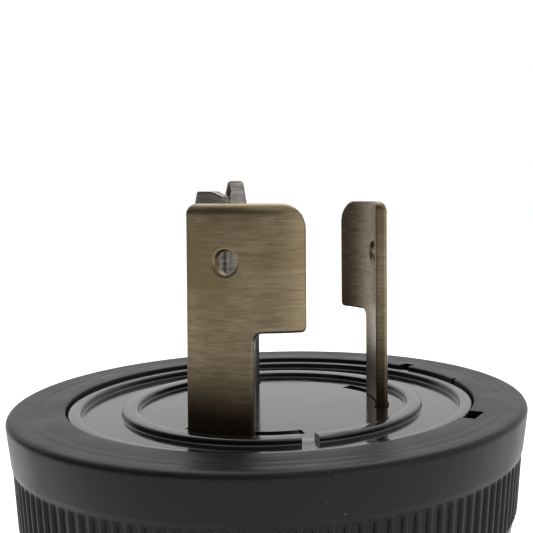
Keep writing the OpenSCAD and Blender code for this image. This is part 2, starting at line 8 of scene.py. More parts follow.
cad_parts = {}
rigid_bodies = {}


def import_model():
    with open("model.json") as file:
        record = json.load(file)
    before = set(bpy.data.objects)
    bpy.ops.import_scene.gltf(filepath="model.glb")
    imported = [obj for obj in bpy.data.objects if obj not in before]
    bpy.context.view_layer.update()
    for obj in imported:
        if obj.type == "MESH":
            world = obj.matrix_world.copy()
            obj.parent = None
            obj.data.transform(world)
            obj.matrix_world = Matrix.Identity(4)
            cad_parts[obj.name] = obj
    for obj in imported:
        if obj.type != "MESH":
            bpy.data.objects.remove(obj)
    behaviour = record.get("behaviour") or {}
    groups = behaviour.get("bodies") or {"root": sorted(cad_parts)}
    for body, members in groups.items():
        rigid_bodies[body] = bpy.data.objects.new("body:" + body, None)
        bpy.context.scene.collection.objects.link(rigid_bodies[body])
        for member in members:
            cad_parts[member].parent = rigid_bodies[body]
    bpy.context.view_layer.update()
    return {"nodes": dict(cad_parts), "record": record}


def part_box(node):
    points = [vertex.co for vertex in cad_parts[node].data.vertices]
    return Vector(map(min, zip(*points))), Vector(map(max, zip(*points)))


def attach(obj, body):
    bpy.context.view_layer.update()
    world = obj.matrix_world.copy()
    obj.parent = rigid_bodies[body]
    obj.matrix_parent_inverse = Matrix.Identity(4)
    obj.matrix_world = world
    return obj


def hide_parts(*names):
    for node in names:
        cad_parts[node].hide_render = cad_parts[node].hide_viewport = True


for leftover in list(bpy.data.objects):
    bpy.data.objects.remove(leftover)

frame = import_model()
mm = 0.001
shellLow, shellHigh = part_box("front_shell")
faceZ = shellHigh.z
flangeR = shellHigh.x
print("frame loaded, face at", round(faceZ / mm, 2), "mm")


# camera

view = {
    "sensor": 36.0, "lens": 60.1666,               # mm, as on a camera
    "distance": 103.37 * mm,                       # in front of the plug's axis
    "aboveFace": 23.39 * mm,
    "yaw": 5.99, "pitch": 0.92, "roll": -0.31,     # degrees
    "shiftX": -0.1876, "shiftY": -0.1126,
    "clip": (0.005, 20),
}


def makeCamera(v):
    data = bpy.data.cameras.new("mainCamera")
    data.sensor_width, data.lens = v["sensor"], v["lens"]
    data.shift_x, data.shift_y = v["shiftX"], v["shiftY"]
    data.clip_start, data.clip_end = v["clip"]
    cam = bpy.data.objects.new("mainCamera", data)
    bpy.context.scene.collection.objects.link(cam)
    yaw, pitch, roll = (math.radians(v[k]) for k in ("yaw", "pitch", "roll"))
    ahead = Vector((math.sin(yaw) * math.cos(pitch), math.cos(yaw) * math.cos(pitch), -math.sin(pitch)))
    right = Vector((math.cos(yaw), -math.sin(yaw), 0))
    up = right.cross(ahead)
    tiltedRight = right * math.cos(roll) + up * math.sin(roll)
    tiltedUp = up * math.cos(roll) - right * math.sin(roll)
    turn = Matrix((tiltedRight, tiltedUp, -ahead)).transposed().to_4x4()
    cam.matrix_world = Matrix.Translation((0, -v["distance"], faceZ + v["aboveFace"])) @ turn
    bpy.context.scene.camera = cam


# materials

class Nodes:
    # small helper that adds nodes to one material and links them
    def __init__(self, name):
        self.mat = bpy.data.materials.new(name)
        self.mat.use_nodes = True
        self.tree = self.mat.node_tree
        self.tree.nodes.clear()
        self.out = self.add("ShaderNodeOutputMaterial")
        self.shader = self.add("ShaderNodeBsdfPrincipled")
        self.link(self.shader.outputs[0], self.out.inputs[0])

    def add(self, kind):
        return self.tree.nodes.new(kind)

    def link(self, a, b):
        self.tree.links.new(a, b)

    def place(self, scale=(1, 1, 1)):
        coords = self.add("ShaderNodeTexCoord")
        mapping = self.add("ShaderNodeMapping")
        mapping.inputs["Scale"].default_value = scale
        self.link(coords.outputs["Object"], mapping.inputs["Vector"])
        return mapping.outputs[0]

    def noise(self, where, scale, detail=3.0, rough=0.5):
        node = self.add("ShaderNodeTexNoise")
        node.inputs["Scale"].default_value = scale
        node.inputs["Detail"].default_value = detail
        node.inputs["Roughness"].default_value = rough
        self.link(where, node.inputs["Vector"])
        return node.outputs[0]

    def cells(self, where, scale):
        node = self.add("ShaderNodeTexVoronoi")
        node.inputs["Scale"].default_value = scale
        self.link(where, node.inputs["Vector"])
        return node.outputs["Distance"]

    def ramp(self, value, stops):
        # two stops of (position, colour)
        node = self.add("ShaderNodeValToRGB")
        for mark, (at, colour) in zip(node.color_ramp.elements, stops):
            mark.position = at
            mark.color = (*colour, 1)
        self.link(value, node.inputs[0])
        return node.outputs[0]

    def grade(self, value, low, high, newLow, newHigh):
        node = self.add("ShaderNodeMapRange")
        for key, v in zip(("From Min", "From Max", "To Min", "To Max"), (low, high, newLow, newHigh)):
            node.inputs[key].default_value = v
        self.link(value, node.inputs[0])
        return node.outputs[0]

    def mix(self, factor, a, b):
        node = self.add("ShaderNodeMix")
        node.data_type = "RGBA"
        for socket, value in ((node.inputs[0], factor), (node.inputs[6], a), (node.inputs[7], b)):
            if isinstance(value, tuple):
                socket.default_value = (*value, 1)
            else:
                self.link(value, socket)
        return node.outputs[2]

    def math(self, operation, a, b):
        node = self.add("ShaderNodeMath")
        node.operation = operation
        self.link(a, node.inputs[0])
        self.link(b, node.inputs[1])
        return node.outputs[0]

    def bump(self, *layers):
        # layers of (height, strength, distance in metres), each one laid over the last
        before = None
        for height, strength, distance in layers:
            node = self.add("ShaderNodeBump")
            node.inputs["Strength"].default_value = strength
            node.inputs["Distance"].default_value = distance
            self.link(height, node.inputs["Height"])
            if before:
                self.link(before, node.inputs["Normal"])
            before = node.outputs[0]
        self.link(before, self.shader.inputs["Normal"])

    def set(self, **values):
        for key, value in values.items():
            socket = self.shader.inputs[key.replace("_", " ")]
            if isinstance(value, bpy.types.NodeSocket):
                self.link(value, socket)
            else:
                socket.default_value = (*value, 1) if isinstance(value, tuple) else value


# Pattern sizes are noise scales: higher numbers are finer. Tones are linear colours.

plasticPattern = {
    "cloud": 180, "grain": 5200, "swell": 900,
    "speck": 900, "speckSize": 0.09, "dustPatch": 260, "dust": (0.42, 0.41, 0.39),
}


def mouldedPlastic(name, dark, light, rough, grain, dusty=0.0):
    # matt moulding: cloudy tone, fine grain, a few pale specks
    p = plasticPattern
    n = Nodes(name)
    where = n.place()
    cloud = n.noise(where, p["cloud"], 5)
    fine = n.noise(where, p["grain"], 2)
    tone = n.ramp(cloud, [(0.3, dark), (0.7, light)])
    if dusty:
        specks = n.grade(n.cells(where, p["speck"]), 0.0, p["speckSize"], 1, 0)
        patch = n.grade(n.noise(where, p["dustPatch"], 2), 0.5, 0.62, 0, dusty)
        tone = n.mix(n.math("MULTIPLY", specks, patch), tone, p["dust"])
    n.set(Base_Color=tone, Roughness=n.grade(cloud, 0.3, 0.7, rough - 0.05, rough + 0.07), IOR=1.27)
    n.bump((fine, grain, 0.04 * mm), (n.noise(where, p["swell"], 3), grain * 0.6, 0.08 * mm))
    return n.mat


glossPattern = {
    "wave": 140, "polish": 2600, "smear": 420,
    "speck": 700, "speckSize": 0.055, "dustPatch": 330, "dust": (0.3, 0.29, 0.27),
}


def glossyPlastic(name, colour):
    # polished moulding with a slight wave and a few specks of dust
    p = glossPattern
    n = Nodes(name)
    where = n.place()
    specks = n.grade(n.cells(where, p["speck"]), 0.0, p["speckSize"], 1, 0)
    patch = n.grade(n.noise(where, p["dustPatch"], 2), 0.52, 0.6, 0, 0.8)
    n.set(Base_Color=n.mix(n.math("MULTIPLY", specks, patch), colour, p["dust"]),
          Roughness=n.grade(n.noise(where, p["smear"], 4), 0.35, 0.7, 0.07, 0.16), IOR=1.55)
    n.bump((n.noise(where, p["wave"], 2), 0.1, 0.2 * mm), (n.noise(where, p["polish"], 2), 0.05, 0.02 * mm))
    return n.mat


metalPattern = {
    "streak": 420, "hair": 1500, "stain": 130, "dent": 700,
    "foot": 9 * mm,        # height over which the painted shade at the blade's foot fades out
    "footPaintedShade": 0.35,
}


def stampedMetal(name, dull, bright, stain, rough, grain, low):
    # rolled strip: a fine grain across the blade, stains, and painted shade that darkens its foot
    p = metalPattern
    n = Nodes(name)
    where = n.place()
    streak = n.noise(n.place(scale=(1, 1, 9)), p["streak"], 4, 0.6)
    hair = n.noise(n.place(scale=(1, 1, 14)), p["hair"], 3, 0.6)
    cloud = n.noise(where, p["stain"], 4)
    tone = n.ramp(streak, [(0.32, dull), (0.68, bright)])
    tone = n.mix(n.grade(cloud, 0.42, 0.7, 0, 0.75), tone, stain)
    height = n.add("ShaderNodeSeparateXYZ")
    n.link(where, height.inputs[0])
    # painted shade: the colour darkens towards the blade's foot, next to the face it stands out of
    foot = n.grade(height.outputs[2], low, low + p["foot"], 0.62, 0)
    tone = n.mix(foot, tone, tuple(c * p["footPaintedShade"] for c in dull))
    n.set(Base_Color=tone, Metallic=1.0, Roughness=n.grade(hair, 0.3, 0.7, rough - 0.06, rough + 0.08))
    n.bump((hair, grain, 0.03 * mm), (n.noise(where, p["dent"], 3), grain * 0.5, 0.06 * mm))
    return n.mat


platePattern = {"cloud": 600, "smear": 2400, "dent": 3000, "shade": 0.7}


def platedSteel(name, colour, rough=0.28):
    p = platePattern
    n = Nodes(name)
    where = n.place()
    cloud = n.noise(where, p["cloud"], 4)
    tone = n.mix(n.grade(cloud, 0.3, 0.7, 0, 0.5), colour, tuple(c * p["shade"] for c in colour))
    n.set(Base_Color=tone, Metallic=1.0,
          Roughness=n.grade(n.noise(where, p["smear"], 3), 0.3, 0.7, rough - 0.06, rough + 0.08))
    n.bump((n.noise(where, p["dent"], 3), 0.15, 0.02 * mm))
    return n.mat


rubberPattern = {"cloud": 300, "smear": 900, "grain": 3500, "worn": 1.8}


def softRubber(name, colour):
    p = rubberPattern
    n = Nodes(name)
    where = n.place()
    n.set(Base_Color=n.mix(n.noise(where, p["cloud"], 4), colour, tuple(c * p["worn"] for c in colour)),
          Roughness=n.grade(n.noise(where, p["smear"], 3), 0.3, 0.7, 0.6, 0.8))
    n.bump((n.noise(where, p["grain"], 3), 0.35, 0.04 * mm))
    return n.mat


plastics = {
    "shell": {"dark": (0.004, 0.004, 0.0043), "light": (0.009, 0.0087, 0.0084),
              "rough": 0.42, "grain": 0.35, "dusty": 0.5},
    "carrier": {"dark": (0.06, 0.065, 0.07), "light": (0.09, 0.095, 0.1), "rough": 0.45, "grain": 0.3},
    "housing": {"dark": (0.285, 0.285, 0.275), "light": (0.305, 0.305, 0.295),
                "rough": 0.48, "grain": 0.3, "dusty": 0.2},
    "jaw": {"dark": (0.022, 0.022, 0.023), "light": (0.038, 0.038, 0.038),
            "rough": 0.45, "grain": 0.4, "dusty": 0.3},
}

metals = {
    "bronze": {"dull": (0.14, 0.108, 0.066), "bright": (0.235, 0.192, 0.128), "stain": (0.14, 0.1, 0.048),
               "rough": 0.38, "grain": 0.25},
    "nickel": {"dull": (0.095, 0.086, 0.078), "bright": (0.215, 0.2, 0.188), "stain": (0.07, 0.062, 0.055),
               "rough": 0.3, "grain": 0.25},
}


def makeMaterials():
    # keyed by the record's material slots
    bladeFoot = faceZ - 1.2 * mm
    return {
        "shell_black": mouldedPlastic("shellBlack", **plastics["shell"]),
        "insert_black": glossyPlastic("insertBlack", (0.006, 0.006, 0.0068)),
        "blade_bronze": stampedMetal("bladeBronze", **metals["bronze"], low=bladeFoot),
        "ground_nickel": stampedMetal("groundNickel", **metals["nickel"], low=bladeFoot),
        "terminal_brass": platedSteel("terminalBrass", (0.62, 0.48, 0.22)),
        "screw_steel": platedSteel("screwSteel", (0.45, 0.455, 0.46)),
        "screw_green": platedSteel("screwGreen", (0.05, 0.3, 0.1), rough=0.35),
        "carrier_grey": mouldedPlastic("carrierGrey", **plastics["carrier"]),
        "housing_grey": mouldedPlastic("housingGrey", **plastics["housing"]),
        "seal_rubber": softRubber("sealRubber", (0.016, 0.016, 0.017)),
        "jaw_black": mouldedPlastic("jawBlack", **plastics["jaw"]),
    }


slots = {part["node"]: part["material_slot"] for part in frame["record"]["subparts"]}


def dressCadNodes():
    for name, obj in frame["nodes"].items():
        obj.data.materials.clear()
        obj.data.materials.append(materials[slots[name]])
    print("dressed", len(slots), "CAD nodes")


# studio

studio = {
    "floorSize": 6.0, "floorTone": (0.86, 0.86, 0.86), "floorRough": 0.9,
    "floorGlow": 0.6,       # added where the camera or a gloss sees the floor
    "darkSide": 215,        # angle in degrees of the room's dark side
    "darkTilt": -0.45,      # how far that side lies below the horizon
    "darkBlend": (0.0, 0.4),
    "darkTone": 0.1, "roomTone": 1.0,
    "lamps": (              # name, place, size and watts
        ("topSoftbox", (0.0, 0.25, 0.55), 0.5, 2.0),
        ("sideSoftbox", (0.2, -0.287, 0.08), 0.16, 0.12),
    ),
}


def makeFloor(s):
    half = s["floorSize"] / 2
    mesh = bpy.data.meshes.new("floor")
    corners = [(x * half, y * half, 0) for x, y in ((-1, -1), (1, -1), (1, 1), (-1, 1))]
    mesh.from_pydata(corners, [], [(0, 1, 2, 3)])
    floor = bpy.data.objects.new("floor", mesh)
    bpy.context.scene.collection.objects.link(floor)
    n = Nodes("floorPaper")
    n.set(Base_Color=s["floorTone"], Roughness=s["floorRough"])
    rays = n.add("ShaderNodeLightPath")
    glow = n.add("ShaderNodeEmission")
    glow.inputs["Strength"].default_value = s["floorGlow"]
    both = n.add("ShaderNodeAddShader")
    pick = n.add("ShaderNodeMixShader")
    seen = n.math("MAXIMUM", rays.outputs["Is Camera Ray"], rays.outputs["Is Glossy Ray"])
    n.link(n.shader.outputs[0], both.inputs[0])
    n.link(glow.outputs[0], both.inputs[1])
    n.link(seen, pick.inputs[0])
    n.link(n.shader.outputs[0], pick.inputs[1])
    n.link(both.outputs[0], pick.inputs[2])
    n.link(pick.outputs[0], n.out.inputs[0])
    mesh.materials.append(n.mat)


def makeRoom(s):
    world = bpy.data.worlds.new("room")
    bpy.context.scene.world = world
    world.use_nodes = True
    tree = world.node_tree
    tree.nodes.clear()
    new, link = tree.nodes.new, tree.links.new
    out = new("ShaderNodeOutputWorld")
    coords = new("ShaderNodeTexCoord")
    side = new("ShaderNodeVectorMath")
    side.operation = "DOT_PRODUCT"
    away = math.radians(s["darkSide"])
    side.inputs[1].default_value = (math.cos(away), math.sin(away), s["darkTilt"])
    link(coords.outputs["Generated"], side.inputs[0])
    shade = new("ShaderNodeMapRange")
    values = (*s["darkBlend"], s["roomTone"], s["darkTone"])
    for key, value in zip(("From Min", "From Max", "To Min", "To Max"), values):
        shade.inputs[key].default_value = value
    shade.interpolation_type = "SMOOTHSTEP"
    link(side.outputs["Value"], shade.inputs[0])
    room = new("ShaderNodeBackground")
    link(shade.outputs[0], room.inputs["Strength"])
    white = new("ShaderNodeBackground")
    rays = new("ShaderNodeLightPath")
    pick = new("ShaderNodeMixShader")
    link(rays.outputs["Is Camera Ray"], pick.inputs[0])
    link(room.outputs[0], pick.inputs[1])
    link(white.outputs[0], pick.inputs[2])
    link(pick.outputs[0], out.inputs[0])
    room.inputs["Color"].default_value = white.inputs["Color"].default_value = (1, 1, 1, 1)


def makeLamp(name, place, size, power):
    data = bpy.data.lights.new(name, "AREA")
    data.size, data.energy = size, power
    lamp = bpy.data.objects.new(name, data)
    bpy.context.scene.collection.objects.link(lamp)
    aim = Vector((0, 0, faceZ)) - Vector(place)
    lamp.matrix_world = Matrix.Translation(place) @ aim.to_track_quat("-Z", "Y").to_matrix().to_4x4()


# meshes, all built in mm and scaled once by toMesh

def toMesh(bm, name):
    for v in bm.verts:
        v.co *= mm
    bmesh.ops.recalc_face_normals(bm, faces=bm.faces)
    mesh = bpy.data.meshes.new(name)
    bm.to_mesh(mesh)
    bm.free()
    return mesh


def newObject(name, mesh, material=None, sharp=32):
    if material:
        mesh.materials.clear()
        mesh.materials.append(material)
    mesh.polygons.foreach_set("use_smooth", [True] * len(mesh.polygons))
    mesh.set_sharp_from_angle(angle=math.radians(sharp))
    obj = bpy.data.objects.new(name, mesh)
    bpy.context.scene.collection.objects.link(obj)
    return obj


def evaluated(obj, name):
    # plain mesh of an object with its modifiers applied; the object itself goes
    depsgraph = bpy.context.evaluated_depsgraph_get()
    mesh = bpy.data.meshes.new_from_object(obj.evaluated_get(depsgraph))
    mesh.name = name
    bpy.data.objects.remove(obj)
    return mesh


def rounded(corners, steps=4):
    # corners of (x, y, radius) in order: each corner with a radius becomes an arc
    points = []
    count = len(corners)
    for i, (x, y, radius) in enumerate(corners):
        here = Vector((x, y))
        if not radius:
            points.append(here)
            continue
        before = (Vector(corners[i - 1][:2]) - here).normalized()
        after = (Vector(corners[(i + 1) % count][:2]) - here).normalized()
        half = before.angle(after) / 2
        reach = radius / math.tan(half)
        centre = here + (before + after).normalized() * radius / math.sin(half)
        start, end = here + before * reach - centre, here + after * reach - centre
        sweep = start.angle_signed(end)
        for k in range(steps + 1):
            points.append(centre + Matrix.Rotation(-sweep * k / steps, 2) @ start)
    return points


def latheMesh(name, points, segments=252):
    # closed section of (r, z) points turned about Z; points on the axis become single poles
    bm = bmesh.new()
    rings = []
    for p in points:
        if p[0] < 1e-5:
            rings.append([bm.verts.new((0, 0, p[1]))])
        else:
            rings.append([bm.verts.new((p[0] * math.cos(a), p[0] * math.sin(a), p[1]))
                          for a in (2 * math.pi * k / segments for k in range(segments))])
    for ring, nextRing in zip(rings, rings[1:] + rings[:1]):
        if len(ring) == 1 and len(nextRing) == 1:
            continue
        for k in range(segments):
            quad = [ring[k % len(ring)], ring[(k + 1) % len(ring)],
                    nextRing[(k + 1) % len(nextRing)], nextRing[k % len(nextRing)]]
            bm.faces.new([v for i, v in enumerate(quad) if v not in quad[:i]])
    return toMesh(bm, name)


def blockMesh(name, turn, x, y, z):
    # box given by its ranges along the radius at turn, across it and up
    bm = bmesh.new()
    bmesh.ops.create_cube(bm, size=1)
    spin = Matrix.Rotation(math.radians(turn), 3, "Z")
    for v in bm.verts:
        v.co = spin @ Vector([lo + (c + 0.5) * (hi - lo) for c, (lo, hi) in zip(v.co, (x, y, z))])
    return toMesh(bm, name)


def sectorMesh(name, start, end, r, z, step=2.5):
    # bent block between two angles, radii and heights
    bm = bmesh.new()
    count = max(2, round((end - start) / step))
    rows = []
    for k in range(count + 1):
        a = math.radians(start + (end - start) * k / count)
        rows.append([bm.verts.new((radius * math.cos(a), radius * math.sin(a), height))
                     for radius, height in ((r[0], z[0]), (r[1], z[0]), (r[1], z[1]), (r[0], z[1]))])
    for low, high in zip(rows, rows[1:]):
        for i in range(4):
            bm.faces.new((low[i - 1], low[i], high[i], high[i - 1]))
    bm.faces.new(rows[0])
    bm.faces.new(rows[-1])
    return toMesh(bm, name)


def rodMesh(name, turn, distance, radius, z, count=48):
    bm = bmesh.new()
    bmesh.ops.create_cone(bm, cap_ends=True, segments=count, depth=z[1] - z[0],
                          radius1=radius, radius2=radius)
    a = math.radians(turn)
    for v in bm.verts:
        v.co += Vector((distance * math.cos(a), distance * math.sin(a), (z[0] + z[1]) / 2))
    return toMesh(bm, name)


def cutAway(obj, cutters, name):
    # takes each cutter mesh out of the object and gives back one plain mesh
    helpers = []
    for cutter in cutters:
        helper = bpy.data.objects.new(cutter.name, cutter)
        bpy.context.scene.collection.objects.link(helper)
        helpers.append(helper)
        cut = obj.modifiers.new(cutter.name, "BOOLEAN")
        cut.operation, cut.solver, cut.object = "DIFFERENCE", "EXACT", helper
    mesh = evaluated(obj, name)
    for helper in helpers:
        bpy.data.objects.remove(helper)
    return mesh


def joined(name, *meshes):
    # one mesh from several closed ones
    bm = bmesh.new()
    for mesh in meshes:
        bm.from_mesh(mesh)
    mesh = bpy.data.meshes.new(name)
    bm.to_mesh(mesh)
    bm.free()
    return mesh


def settle(name, mesh, slot, nodes, sharp=32):
    # the finished piece: rides on the plug and stands for its CAD nodes
    piece = newObject(name, mesh, materials[slot], sharp)
    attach(piece, "root")
    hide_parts(*nodes)


def softened(node, slot, width):
    # merged copy of a CAD node with its edges rounded
    same, flat = 0.002 * mm, math.radians(0.3)     # what counts as one vertex and as one plane
    bm = bmesh.new()
    bm.from_mesh(frame["nodes"][node].data)
    bmesh.ops.remove_doubles(bm, verts=bm.verts, dist=same)
    bmesh.ops.dissolve_limit(bm, angle_limit=flat, verts=bm.verts, edges=bm.edges)
    mesh = bpy.data.meshes.new(node)
    bm.to_mesh(mesh)
    bm.free()
    obj = bpy.data.objects.new(node, mesh)
    bpy.context.scene.collection.objects.link(obj)
    edge = obj.modifiers.new("edge", "BEVEL")
    edge.width, edge.segments = width * mm, 3
    edge.limit_method, edge.angle_limit = "ANGLE", math.radians(32)
    edge.use_clamp_overlap = True
    edge.harden_normals = True
    settle(node.title().replace("_", ""), evaluated(obj, node), slot, [node])


# bent plates

def inward(loop, distance):
    # closed loop moved to its left side: into a counter-clockwise outline, away from a clockwise hole
    moved = []
    sharpest = 0.4         # keeps the point of a sharp corner from running off
    for i, p in enumerate(loop):
        a, b = p - loop[i - 1], loop[(i + 1) % len(loop)] - p
        a, b = Vector((-a.y, a.x)).normalized(), Vector((-b.y, b.x)).normalized()
        middle = (a + b).normalized()
        moved.append(p + middle * distance / max(sharpest, middle.dot(a)))
    return moved


def plateMesh(name, loops, thick, edge, place, cuts=(), heights=(), steps=4):
    # plate with rounded edges from closed loops of (s, z): s runs along the plate's outer face,
    # and place(s, depth, z) puts each point where the bent plate has it
    bm = bmesh.new()
    flatBorder = 0.06      # keeps the faces' shading flat up to their edges
    rows = [(edge + flatBorder, 0.0)]
    rows += [(edge * (1 - math.sin(t)), edge * (1 - math.cos(t))) for t in
             (math.pi / 2 * k / steps for k in range(steps + 1))]
    rows += [(inset, thick - depth) for inset, depth in reversed(rows)]
    rims = ([], [])
    for loop in loops:
        rings = [[bm.verts.new((p.x, depth, p.y)) for p in inward(loop, inset)] for inset, depth in rows]
        for low, high in zip(rings, rings[1:]):
            for i in range(len(low)):
                bm.faces.new((low[i - 1], low[i], high[i], high[i - 1]))
        for rim, ring in zip(rims, (rings[0], rings[-1])):
            rim.extend(bm.edges.get((ring[i - 1], ring[i])) for i in range(len(ring)))
    for rim in rims:
        bmesh.ops.triangle_fill(bm, use_beauty=True, use_dissolve=False, edges=rim)
    for axis, places in (((1, 0, 0), cuts), ((0, 0, 1), heights)):
        for at in places:
            bmesh.ops.bisect_plane(bm, geom=bm.verts[:] + bm.edges[:] + bm.faces[:], dist=1e-4,
                                   plane_co=[at * c for c in axis], plane_no=axis)
    for v in bm.verts:
        v.co = place(*v.co)
    return toMesh(bm, name)


def stepped(start, end, step):
    count = max(1, round((end - start) / step))
    return [start + (end - start) * k / count for k in range(1, count)]


def holeLoop(s, z, radius, count=36):
    # clockwise, so that it is a hole
    return [Vector((s + radius * math.cos(a), z - radius * math.sin(a)))
            for a in (2 * math.pi * k / count for k in range(count))]


makeCamera(view)
print("camera made")
materials = makeMaterials()
dressCadNodes()
makeRoom(studio)
makeFloor(studio)
for lamp in studio["lamps"]:
    makeLamp(*lamp)
print("studio made")

face = faceZ / mm
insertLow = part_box("face_insert")[0].z / mm
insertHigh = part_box("face_insert")[1].z / mm


# blades

blade = {
    "outerR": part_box("line_blade_1")[1].x / mm,
    "strip": 1.3,
    "edge": 0.32,          # rounding of the strip's edges
    "turns": (0, 240),     # where the two line blades stand
    "back": -14, "front": 21, "hookEnd": 45,     # angles from each blade's reference line
    "hookZ": 9.1,
    "topCorner": 0.9, "hookCorner": 2.6, "hookLowCorner": 0.6, "hookFillet": 0.9,
    "holeAngle": 8, "holeZ": 16.3, "holeR": 1.225,
    "tipDraw": 0.6, "tipRound": 1.5,
    "bendStep": 0.42, "tipStep": 0.2,            # spacing of the mesh's rows
}

tail = {
    "turn": 3.5,           # from the reference line to the tail's middle
    "inset": 0.15,         # from the strip's inner face in to the tail's
    "wide": 10, "high": 18, "corner": 0.5, "holeUp": 6.5, "holeR": 2.2, "edge": 0.2,
}


def arcLength(angle):
    return blade["outerR"] * math.radians(angle)


def tailMesh(base):
    # flat lower end of a blade, with the hole for its terminal screw
    t = tail
    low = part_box("line_blade_1")[0].z / mm
    half, high = t["wide"] / 2, low + t["high"]
    corners = ((-half, low), (half, low), (half, high), (-half, high))
    outline = rounded([(s, z, t["corner"]) for s, z in corners])
    front = blade["outerR"] - t["inset"]
    spin = Matrix.Rotation(math.radians(base + t["turn"]), 3, "Z")
    hole = holeLoop(0, low + t["holeUp"], t["holeR"])
    return plateMesh("tail", [outline, hole], blade["strip"], t["edge"],
                     lambda s, depth, z: spin @ Vector((front - depth, s, z)))


def makeLineBlade(name, node, base):
    b = blade
    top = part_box(node)[1].z / mm
    back, front, hookEnd = (arcLength(b[k]) for k in ("back", "front", "hookEnd"))
    hookLow = face + b["hookZ"]
    outline = rounded([(back, insertLow, 0), (front, insertLow, 0), (front, hookLow, b["hookFillet"]),
                       (hookEnd, hookLow, b["hookLowCorner"]), (hookEnd, top, b["hookCorner"]),
                       (back, top, b["topCorner"])], 8)
    tipHeight = math.sqrt(b["tipRound"] ** 2 - (b["tipRound"] - b["tipDraw"]) ** 2)

    def place(s, depth, z):
        rise = max(0.0, z - top + tipHeight)
        draw = b["tipRound"] - math.sqrt(b["tipRound"] ** 2 - rise ** 2)
        r = b["outerR"] - draw - depth * (b["strip"] - draw) / b["strip"]
        angle = math.radians(base) + s / b["outerR"]
        return Vector((r * math.cos(angle), r * math.sin(angle), z))

    hole = holeLoop(arcLength(b["holeAngle"]), face + b["holeZ"], b["holeR"])
    strip = plateMesh(node, [outline, hole], b["strip"], b["edge"], place,
                      stepped(back, hookEnd, b["bendStep"]),
                      stepped(top - tipHeight - b["tipStep"], top, b["tipStep"]))
    settle(name, joined(node, strip, tailMesh(base)), "blade_bronze", [node])


for number, turn in enumerate(blade["turns"], 1):
    makeLineBlade(f"lineBlade{number}", f"line_blade_{number}", turn)
print("line blades made")


groundBlade = {
    "turn": 120, "edge": 0.22,
    "back": -21, "legAngle": 22, "legLength": 5.4,
    "bendR": 1.6,                   # outside radius of the bend into the leg
    "step": 1.3,                    # how far the leg's top stays below the tip
    "reliefZ": 18.5, "tipZ": 22,    # between these heights the plain edge leans in
    "tipEdge": -3.13, "tipRight": -2.62, "tipLeft": -0.56, "tipInner": -0.23,
    "notchDrop": 0.6, "notchWidth": 1.3, "legSlope": 1.7,
    "taper": 5, "draw": 0.8,        # lead-in of the outer face
    "cornerTurn": 52, "cornerCut": 1.25, "cornerHigh": 3.9,   # bevel on the bend's outer corner
    # rounding of the outline's corners
    "legEndRound": 0.3, "slopeRound": 0.5, "notchTopRound": 0.4, "notchRound": 0.25,
    "tipCornerRound": 0.5, "tipSideRound": 1.0, "reliefRound": 0.8,
    # facets on the inner face, as slopes and heights
    "sideFacet": 0.75, "sideFacetSlope": 0.9, "sideFacetLean": 0.17, "sideFacetHigh": 2.5,
    "topFacetSlope": 0.28, "topFacetHigh": 1.2,
    # spacing of the mesh's rows, and how far they reach past the bend and below the tip
    "arcStep": 0.4, "bendStep": 0.22, "legStep": 0.6, "tipStep": 0.3,
    "bendPast": 0.2, "legPast": 0.3, "tipPast": 1,
}


